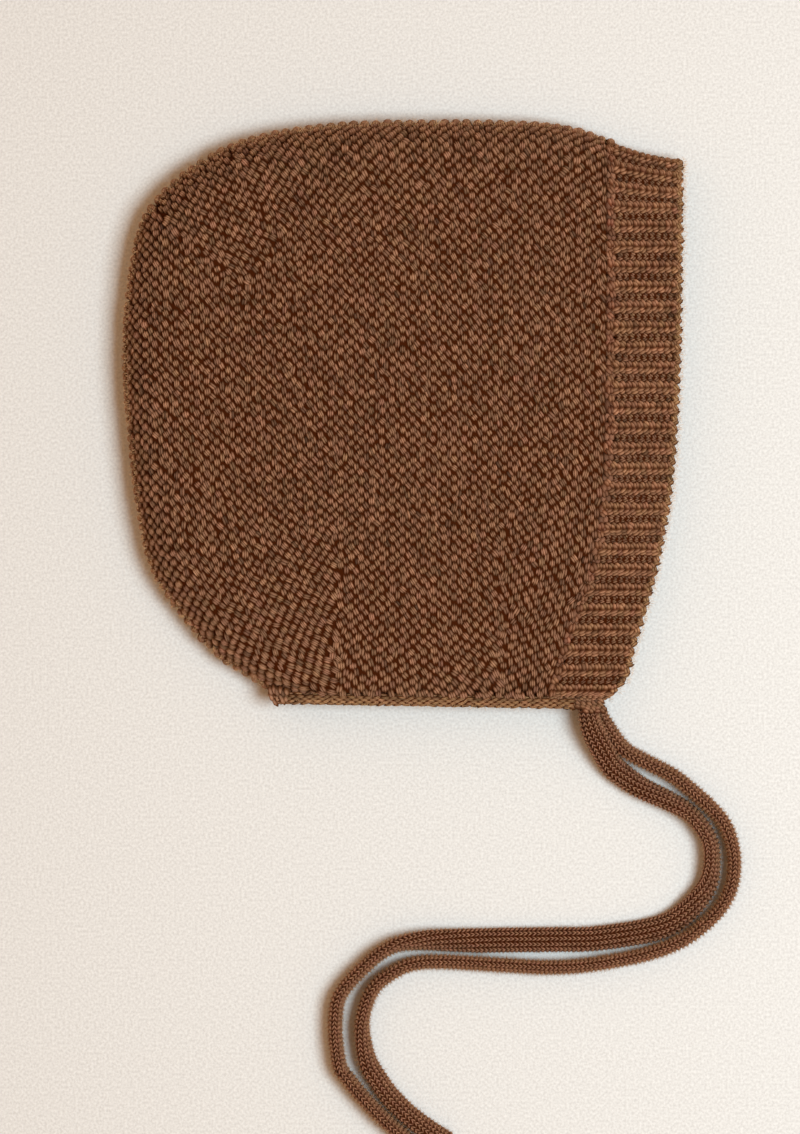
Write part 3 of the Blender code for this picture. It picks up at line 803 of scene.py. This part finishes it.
def fold_knobs(name):
    """The ends of the ridges, seen from the side along the fold."""
    line_run = run_of(fold)
    runs, pitches = [FOLD_TAIL - 0.8], [TOP_KNOB]
    while runs[-1] < line_run[-1] - FOLD_TAIL + 3.0:
        down_way = -np.interp(runs[-1], line_run, fold_way[:, 1])
        pitches.append(TOP_KNOB + (BACK_KNOB - TOP_KNOB) * ease((down_way - 0.75) / 0.2))
        runs.append(runs[-1] + pitches[-1])
    pitch = np.array(pitches)[:, None]
    spots = at_run(fold, np.array(runs) + rng.normal(0, 0.12, len(runs)))
    _, inward, _ = near_fold(spots)
    _, inside = crown_skin(spots, 1, 0.0)
    places, _ = crown_skin(spots + inward * (KNOB_IN - inside)[:, None], 1, BACKING_INSET)
    count = len(places)
    flat_out = np.column_stack([-inward, np.zeros(count)])
    out = unit(flat_out + (0.0, 0.0, 0.45))
    along_way = np.column_stack([-inward[:, 1], inward[:, 0], np.zeros(count)])
    across_way = np.cross(out, along_way)
    note_loose_ends(places + out * 0.9, flat_out, 14, 0.7, 0.5)
    grow = pitch * rng.normal(1, 0.07, (count, 1))
    # The knobs' tone is set below the flat stitches' as painted shade along the rim of the fold.
    return lumps_mesh(name, places, along_way * KNOB["long"] * grow, across_way * KNOB["wide"] * grow,
                      out * KNOB["tall"] * grow, rng.normal(-0.9, 0.7, count), rng.normal(0, 1, count),
                      KNOB_RINGS)


# First colour painted shade, last colour painted highlight.
garter_wool = plied_wool("wool_plied_garter_knit", "#371402", "#73492F", "#A97E64", "#E0A868")
crown_pieces = (crown_stitches("crown_upper_knit", 1) + crown_stitches("crown_lower_knit", -1)
                + [fold_knobs("crown_fold_knobs")])
for piece in crown_pieces:
    put_on(piece, "crown", garter_wool)

# %% [markdown]
# ## The fabric under the stitches
# Between the bumps the eye looks down to more yarn in shadow. That is a plain skin just under them,
# made from the solid's own shape, welded and drawn in so that the bumps stand out of it. It also
# gives the bonnet its hollow and its inner faces.

# %% Backing skins
def backing(name, node, inset, levels):
    """A copy of a solid's shape with its skin drawn in."""
    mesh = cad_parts[node].data.copy()
    mesh.name = name
    mesh.materials.clear()
    piece = new_piece(name, mesh)
    weld = piece.modifiers.new("weld", "WELD")
    weld.merge_threshold = 0.02 * MM
    smooth = piece.modifiers.new("smooth", "SUBSURF")
    smooth.levels = smooth.render_levels = levels
    shrink = piece.modifiers.new("inset", "DISPLACE")
    shrink.mid_level = 0.0
    shrink.strength = -inset * MM
    bpy.context.view_layer.update()
    made = bpy.data.meshes.new_from_object(piece.evaluated_get(bpy.context.evaluated_depsgraph_get()))
    piece.modifiers.clear()
    piece.data = made
    made.shade_smooth()
    made.materials.clear()
    put_on(piece, node, gap_shadow_wool)
    print(name, len(made.polygons), "faces")
    return piece


# The crown is one knitted skin, folded over at the top. Laid out flat it is as long as both layers
# and as wide as they are deep, less its rounded corners.
crown_backing = backing("crown_backing", "crown", BACKING_INSET, 1)

# %% [markdown]
# ## The ribbed brim
# The brim is single rib: raised columns of V-shaped stitches that run from the crown to the face
# edge, with sunk columns between them. Each raised stitch has two legs that meet in a point towards
# the face. The legs sit on the solid's own rib shape, so the ribs stay in the silhouette.

# %% The brim's skin
RIB_RELIEF, RIB_PITCH, FIRST_RIB, RIB_FADE = 0.8, 5.5, 5 / 6, 0.13
BRIM_TOP_DIP = 0.8
brim_quarter = math.pi / 2 * math.sqrt((FOLD_ROUND ** 2 + (loft_at(*FACE_TOP) / 2) ** 2) / 2)
BRIM_RUN = brim_quarter + JOIN_TOP[1] - neck_y(join_line[-1][0]) - FOLD_ROUND


def brim_plan(drop, across):
    """Plan of the brim at distances down from the fold and shares across from the join."""
    top_y = JOIN_TOP[1] + (FACE_TOP[1] - JOIN_TOP[1]) * across - BRIM_TOP_DIP * 4 * across * (1 - across)
    fall = JOIN_TOP[1] - top_y
    y = top_y - drop + fall * np.minimum(1.0, drop / (RIB_FADE * HEIGHT))
    join = line_x(join_line, y) + SEAM / 2
    return join + (line_x(face_line, y) - join) * across, y, top_y - y


def brim_skin(place, across, inset):
    """Points of the brim's outer skin. A place below zero is on the lower layer."""
    side = np.where(place < 0, -1.0, 1.0)
    walk = np.abs(place)
    turn = np.minimum(1.0, walk / brim_quarter) * math.pi / 2
    drop = FOLD_ROUND * (1 - np.cos(turn)) + np.maximum(0.0, walk - brim_quarter)
    rib = 0.5 + 0.5 * np.cos(2 * math.pi * (place / RIB_PITCH - FIRST_RIB))
    sunk = inset + RIB_RELIEF * (1 - rib)
    x, y, reach = brim_plan(drop, across)
    angle = np.arccos(np.maximum(0.0, 1 - reach / FOLD_ROUND))
    x, y, _ = brim_plan(drop + sunk * np.cos(angle), across)
    loft = loft_at(x, y)
    level = FOLD_LEVEL * loft
    rise = np.where(side > 0, loft - level, level)
    return np.column_stack([x, y, level + side * (rise - sunk) * np.sin(angle)])


def brim_frame(place, across, inset):
    """Points with the ways down the brim, across it towards the face, and out of it."""
    spot = brim_skin(place, across, inset)
    down = unit(brim_skin(place + 0.05, across, inset) - spot)
    face = unit(brim_skin(place, np.minimum(across + 0.004, 1.0), inset)
                - brim_skin(place, across - 0.004, inset))
    out = unit(np.cross(down, face))
    turn = np.minimum(1.0, np.abs(place) / brim_quarter) * math.pi / 2
    outward = out[:, 1] * np.cos(turn) + out[:, 2] * np.sin(turn) * np.sign(place)
    out *= np.where(outward < 0, -1, 1)[:, None]
    return spot, down, face, out


# %% Ribs
CHEVRON_PITCH = 1.74
BRIM_WIDTH = 19.1
BRIM_INSET = 0.80
VALLEY_INSET = 1.05
RIB_LEG = dict(long=1.30, wide=0.84, tall=0.95)
VALLEY_LEG = dict(long=0.90, wide=0.62, tall=0.60)
CHEVRON_ROWS, FIRST_CHEVRON = 10, 1.6
# The valley legs' low tone is painted shade in the sunk columns.
# Columns: place beside the rib, lean in degrees, size, inset, tone, and shift across in chevrons.
RIB_LEGS = ((-0.88, 42, RIB_LEG, BRIM_INSET, 0.5, 0.0), (0.88, -42, RIB_LEG, BRIM_INSET, 0.5, 0.0),
            (2.20, 35, VALLEY_LEG, VALLEY_INSET, -2.2, 0.5),
            (-2.20, -35, VALLEY_LEG, VALLEY_INSET, -2.2, 0.5))


def lean_lumps(name, parts, material, node, ply_lean=8.0):
    """One piece of two-ply loops from rows of (places, along, across, up, tone, hue)."""
    stitches = [np.concatenate([p[k] for p in parts]) for k in range(6)]
    piece = lumps_mesh(name, *split_plies(stitches, TWO_PLIES, ply_lean))
    put_on(piece, node, material)
    return piece


def leg(place, across, lean_degrees, size, inset, tone):
    """Legs of stitches on the brim, leaning down towards the face by an angle."""
    count = len(place)
    spot, down, face, out = brim_frame(place + rng.normal(0, 0.05, count), across, inset)
    lean = (np.radians(lean_degrees) + rng.normal(0, 0.10, count))[:, None]
    grow = rng.normal(1, 0.05, (count, 1))
    return (spot, (face * np.cos(lean) + down * np.sin(lean)) * size["long"] * grow,
            (down * np.cos(lean) - face * np.sin(lean)) * size["wide"] * grow,
            out * size["tall"] * rng.normal(1, 0.05, (count, 1)) + face * 0.15,
            tone + rng.normal(0, 0.8, count), rng.normal(0, 1, count))


def brim_side(sign):
    """The legs of one layer's ribs."""
    ribs = np.arange(-40, 40) + FIRST_RIB
    rows = (FIRST_CHEVRON + CHEVRON_PITCH * np.arange(CHEVRON_ROWS)) / BRIM_WIDTH
    parts = []
    for shift, lean, size, inset, tone, row_shift in RIB_LEGS:
        row_places = rows + row_shift * CHEVRON_PITCH / BRIM_WIDTH
        place, across = np.meshgrid(ribs * RIB_PITCH + shift, row_places, indexing="ij")
        place, across = place.reshape(-1), across.reshape(-1)
        keep = (place * sign > 0) & (np.abs(place) < BRIM_RUN - 0.7)
        parts.append(leg(place[keep], across[keep], lean, size, inset, tone))
        note_loose_ends(parts[-1][0], unit(parts[-1][3]), 6)
    return parts


# First colour painted shade, last colour painted highlight.
rib_wool = plied_wool("wool_plied_rib_knit", "#3A1703", "#6E442C", "#A67A5E", "#E0A868")
brim_upper = lean_lumps("brim_upper_knit", brim_side(1), rib_wool, "brim")
brim_lower = lean_lumps("brim_lower_knit", brim_side(-1), rib_wool, "brim")
# The brim is a straight band of rib, folded over at the top.
brim_backing = backing("brim_backing", "brim", CORE_INSET, 1)

# %% [markdown]
# ## The join and the cast-off edge
# Where the ribs were picked up from the crown there is a column of smooth, redder stitches. At the
# face the ribs are cast off in a chain of tan loops, two to a rib, which stand out as a scallop.
# Their light tan is a painted highlight where the light catches the face edge. A few rows of flat
# loops round off each lower corner, beside the tie.

# %% Join column, face edge and foot
# Distance across the brim where the cast-off loops lie, and spacings of the join's and foot's loops.
CAST_OFF_ACROSS, JOIN_PITCH, FOOT_PITCH = 18.35, 2.85, 1.95
# Columns: distance below the last rib, start and end across the brim.
FOOT_ROWS = ((-0.2, 0.8, 19.0), (0.9, 1.8, 19.0), (2.0, 5.5, 19.0), (3.0, 12.6, 18.6))
# The lighter tan of the cast-off wool is a painted highlight of the lit face edge. The neck chain uses the
# same wool. As in every plied wool, the first colour is painted shade and the last a painted highlight.
edge_wool = plied_wool("wool_plied_cast_off", "#451C06", "#835637", "#B28A66", "#F0B878")
join_wool = plied_wool("wool_plied_join", "#451B05", "#76472F", "#A2735A", "#E0A868")
edge_places = np.arange(-BRIM_RUN + 0.8, BRIM_RUN - 0.6, RIB_PITCH / 2)
edge_across = np.full(len(edge_places), CAST_OFF_ACROSS / BRIM_WIDTH)
edge_parts = [
    leg(edge_places - 0.45, edge_across, 48, dict(long=1.20, wide=0.72, tall=1.05), 0.85, -0.6),
    leg(edge_places + 0.75, edge_across + 0.012, -44, dict(long=1.15, wide=0.70, tall=1.00), 0.85, -0.8),
]
lean_lumps("face_cast_off", edge_parts, edge_wool, "brim")
join_places = np.arange(-BRIM_RUN + 1.2, BRIM_RUN - 1.0, JOIN_PITCH)
joins = len(join_places)
join_lean = rng.normal(60, 9, joins)
join_parts = [leg(join_places + rng.normal(0, 0.25, joins), rng.normal(0, 0.012, joins), join_lean,
                  dict(long=1.35, wide=0.90, tall=0.9), 0.66, -0.2),
              leg(join_places + 1.4, np.zeros(joins), 80, dict(long=1.7, wide=1.5, tall=0.7), 1.2, -1.0)]
foot_parts = []
for beyond, start, stop in FOOT_ROWS:
    foot_across = np.arange(start, stop, FOOT_PITCH) / BRIM_WIDTH
    for side in (1, -1):
        foot_parts.append(leg(np.full(len(foot_across), side * (BRIM_RUN + beyond)), foot_across,
                              rng.normal(20, 22, len(foot_across)), dict(long=1.12, wide=0.86, tall=0.95),
                              0.8, -0.8))
lean_lumps("brim_foot", foot_parts, rib_wool, "brim")
note_loose_ends(edge_parts[0][0] + (1.6, 0, 0), np.tile((1.0, 0.0, 0.0), (len(edge_places), 1)), 20)
lean_lumps("join_column", join_parts, join_wool, "brim")

# %% [markdown]
# ## The neck edging
# A chain of tan stitches finishes the neck. Seen from above it is a narrow band of thin, nearly
# level strands, laid like bricks, of which the outer ones catch the light. At the back of the neck
# it turns down to the lower layer, and the crown's last bumps cover its end.

# %% Neck chain
EDGING_INSET = 0.35
backing("neck_edging_backing", "neck_edging", EDGING_INSET, 0)

# Where the edging turns down round the back of the neck, and over what length.
NECK_BACK_X, NECK_BOW = -33.2, 6.0
# The last few bumps of the crown, which cover the end of the chain.
NECK_CORNER = ((-35.4, -75.3, 9.2), (-33.7, -75.5, 9.7), (-32.1, -75.8, 9.9), (-35.2, -76.8, 8.8),
               (-33.6, -77.2, 9.2), (-32.2, -77.7, 9.4), (-34.4, -78.0, 8.3))


def neck_run(side):
    """The middle of the edging on one layer, from the ties to the back of the neck."""
    x = np.linspace(EDGING_FACE_X, NECK_BACK_X, 200)
    y = neck_y(x) - SEAM - EDGING_DEPTH / 2
    loft = loft_at(x, y)
    bow = ease((NECK_BACK_X + NECK_BOW - x) / NECK_BOW)
    return np.column_stack([x, y, loft - 0.3 - 2.0 * bow if side > 0 else 0.3 + 1.2 * bow])


STRAND_PITCH = 2.3
# The tone column is painted light and shade: one row is toned lighter as a painted highlight, and the
# others darker, the deepest most, as painted shade.
# Columns: shift along, place across, sunk below the top, tone.
STRAND_ROWS = ((0.0, 0.85, 0.30, -1.8), (1.2, 0.25, 0.30, -0.8), (0.1, -0.35, 0.40, 0.5),
               (1.2, -0.95, 0.70, -0.8), (0.6, 1.50, 1.10, -2.5))


def chain(side):
    """The rows of strands along one layer's neck edge."""
    line = neck_run(side)
    runs = np.arange(1.0, run_of(line)[-1], STRAND_PITCH)
    parts = []
    for shift, drop, sunk, tone in STRAND_ROWS:
        spot = at_run(line, runs + shift) + (0, drop, -side * sunk)
        count = len(spot)
        way = unit(np.tile((1.0, 0.08, 0.0), (count, 1)) + rng.normal(0, 0.11, (count, 3)))
        up = np.tile((0.0, -0.25, float(side)), (count, 1))
        cross = unit(np.cross(up, way))
        parts.append((spot, way * 1.40, cross * 0.40, up * 0.8, tone + rng.normal(0, 0.8, count),
                      rng.normal(0, 1, count)))
    return parts


def chain_back():
    """The loops that carry the chain down round the back of the neck."""
    start, end = neck_run(1)[-1], neck_run(-1)[-1]
    parts = []
    for step_x, step_y in ((-0.6, 0.2), (-1.5, 0.9), (-2.5, 1.9)):
        spot = start + (end - start) * np.linspace(0.06, 0.94, 5)[:, None] + (step_x, step_y, 0.0)
        count = len(spot)
        parts.append((spot, np.tile((0.1, 0.3, -1.2), (count, 1)), np.tile((0.15, 0.85, 0.2), (count, 1)),
                      np.tile((-1.1, -0.4, 0.0), (count, 1)), rng.normal(0, 0.6, count),
                      rng.normal(0, 1, count)))
    spot = np.array(NECK_CORNER)
    count = len(spot)
    parts.append((spot, np.tile((0.4, -1.3, 0.0), (count, 1)), np.tile((1.1, 0.3, 0.0), (count, 1)),
                  np.tile((-0.2, -0.3, 1.2), (count, 1)), rng.normal(0.3, 0.6, count),
                  rng.normal(0, 1, count)))
    return parts


chain_parts = chain(1) + chain(-1)
lean_lumps("neck_back_loops", chain_back(), garter_wool, "neck_edging")
lean_lumps("neck_chain", chain_parts, edge_wool, "neck_edging", 0.0)
BRIGHT_ROW = 2
for k in (BRIGHT_ROW, BRIGHT_ROW + len(STRAND_ROWS)):
    spots = chain_parts[k][0]
    note_loose_ends(spots - (0, 0.5, 0), np.tile((0.0, -1.0, 0.0), (len(spots), 1)), 10)

# %% [markdown]
# ## Loose fibres
# Wool is never quite smooth: short fibres stand off every edge and catch the light as a pale tan
# rim. Hair particles could make them, but they would not be part of the meshes. So each fibre is a
# thin three-sided spike that bends once. Real ones are 0.02 mm thick, too fine to show, so these
# are drawn 0.065 mm thick and there are fewer of them.

# %% Fibre spikes
FIBRE_THICK = 0.065
FUZZ_LONG, FLYAWAY_LONG = 0.9, 2.0
FLYAWAYS = 1500


def spikes(starts, ways, longest, bends):
    """Points and faces of three-sided spikes, straight or bent once."""
    count = len(starts)
    way = unit(ways + rng.normal(0, 0.5, ways.shape))
    bend = unit(way + rng.normal(0, 0.7, ways.shape)) if bends else way
    long = longest * rng.uniform(0.3, 1.0, (count, 1))
    side = unit(np.cross(way, rng.normal(0, 1, ways.shape)))
    lift = np.cross(way, side)
    half = long * 0.5
    rings = [(starts - way * 0.3, 1.0)] + [(starts + way * half, 0.8)] * bends
    corners = [middle + (side * math.cos(turn) + lift * math.sin(turn)) * thick * FIBRE_THICK / 2
               for middle, thick in rings for turn in (0, 2 * math.pi / 3, 4 * math.pi / 3)]
    points = np.stack(corners + [starts + (way + bend) * half], axis=1)
    tip = len(corners)
    shape = [(0, 2, 1)]
    for k in range(3):
        near = (k + 1) % 3
        if bends:
            shape += [(k, near, near + 3), (k, near + 3, k + 3)]
        shape.append((tip - 3 + k, tip - 3 + near, tip))
    faces = np.array(shape)[None] + (np.arange(count) * (tip + 1))[:, None, None]
    return points.reshape(-1, 3), faces.reshape(-1, 3)


def fibre_piece(name, starts, ways):
    """One mesh of short straight fuzz with some longer bent fibres among it."""
    order = rng.permutation(len(starts))
    long, short = order[:FLYAWAYS], order[FLYAWAYS:]
    points, faces = spikes(starts[long], ways[long], FLYAWAY_LONG, True)
    more_points, more_faces = spikes(starts[short], ways[short], FUZZ_LONG, False)
    faces = np.vstack([faces, more_faces + len(points)])
    points = np.vstack([points, more_points])
    points[:, 2] = np.maximum(points[:, 2], 0.02)
    mesh = bpy.data.meshes.new(name)
    mesh.from_pydata((points * MM).tolist(), [], faces.tolist())
    mesh.shade_smooth()
    print(name, len(starts), "fibres,", len(faces), "triangles")
    return new_piece(name, mesh)


def loose_wool(name, root, tip, glow):
    """Ends of wool fibres, in noise patches between a root and a tip colour, which paint the light they
    catch and the shade they lie in. A faint glow stands for the light that passes through them."""
    material, tree, shader = new_material(name)
    where = add_node(tree, "ShaderNodeTexCoord")
    patch = add_node(tree, "ShaderNodeTexNoise", Vector=where.outputs["Object"], Scale=900.0, Detail=1.0)
    ramp = add_node(tree, "ShaderNodeValToRGB", Fac=patch.outputs["Fac"])
    ramp.color_ramp.elements[0].color = linear(root)
    ramp.color_ramp.elements[1].color = linear(tip)
    feed(tree, shader, Base_Color=ramp.outputs["Color"], Emission_Color=ramp.outputs["Color"],
         Emission_Strength=glow, Roughness=0.7, Specular_IOR_Level=0.2)
    return material


# The tie fibres' dark brown root colour is painted shade in the gap between the ties, and the loose
# fibres' pale tan a painted highlight on the rim; both glow faintly as painted light.
tie_fibre_wool = loose_wool("wool_tie_fibres", "#7C4A2A", "#E8B98A", 0.05)
fibre_wool = loose_wool("wool_loose_fibres", "#D59B60", "#FFD6A6", 0.12)
for name, groups, slot, material in (("tie_fibres", loose_ends[:2], "tie_knit", tie_fibre_wool),
                                     ("loose_fibres", loose_ends[2:], "garter_knit", fibre_wool)):
    starts, ways = (np.concatenate([ends[k] for ends in groups]) for k in (0, 1))
    fibres = fibre_piece(name, starts, ways)
    fibres.data.materials.append(material)
    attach(fibres, "root")

# %% [markdown]
# ## Floor and light
# The bonnet lies on warm white paper-like card with a fine grain. One broad soft light hangs high on
# the right, so that only the left sides have a short shadow, and a warm glow fills it.

# %% Floor
bpy.ops.mesh.primitive_plane_add(size=6.0, location=(0, 0, -0.0001))
floor = bpy.context.object
floor.name = "floor"
card, card_tree, card_shader = new_material("card_pressed_paper")
where = add_node(card_tree, "ShaderNodeTexCoord")
grain = add_node(card_tree, "ShaderNodeTexNoise", Vector=where.outputs["Object"], Scale=1400.0, Detail=3.0)
paper = add_node(card_tree, "ShaderNodeValToRGB", Fac=grain.outputs["Fac"])
paper.color_ramp.elements[0].position = 0.3
paper.color_ramp.elements[0].color = linear("#E4E2E1")
paper.color_ramp.elements[1].position = 0.7
paper.color_ramp.elements[1].color = linear("#FCFBFA")
press = add_node(card_tree, "ShaderNodeBump", Height=grain.outputs["Fac"], Strength=0.35, Distance=0.0003)
feed(card_tree, card_shader, Base_Color=paper.outputs["Color"], Normal=press.outputs["Normal"],
     Roughness=0.9, Specular_IOR_Level=0.2)
floor.data.materials.append(card)

# %% Lights
SKY_COLOUR, SKY_STRENGTH = (1.0, 0.60, 0.325, 1.0), 0.455
KEY_COLOUR, KEY_WATTS, KEY_SIZE = (0.76, 0.93, 1.0), 10.6, 0.5
KEY_PLACE = (0.49, -0.13, 1.0)
world = bpy.data.worlds.new("sky")
world.use_nodes = True
feed(world.node_tree, world.node_tree.nodes["Background"], Color=SKY_COLOUR, Strength=SKY_STRENGTH)
bpy.context.scene.world = world
key_data = bpy.data.lights.new("key", "AREA")
key_data.shape = "SQUARE"
key_data.size = KEY_SIZE
key_data.energy = KEY_WATTS
key_data.color = KEY_COLOUR
key = bpy.data.objects.new("key", key_data)
key.location = KEY_PLACE
key.rotation_euler = (Vector((0, 0, 0)) - key.location).to_track_quat("-Z", "Y").to_euler()
bpy.context.scene.collection.objects.link(key)
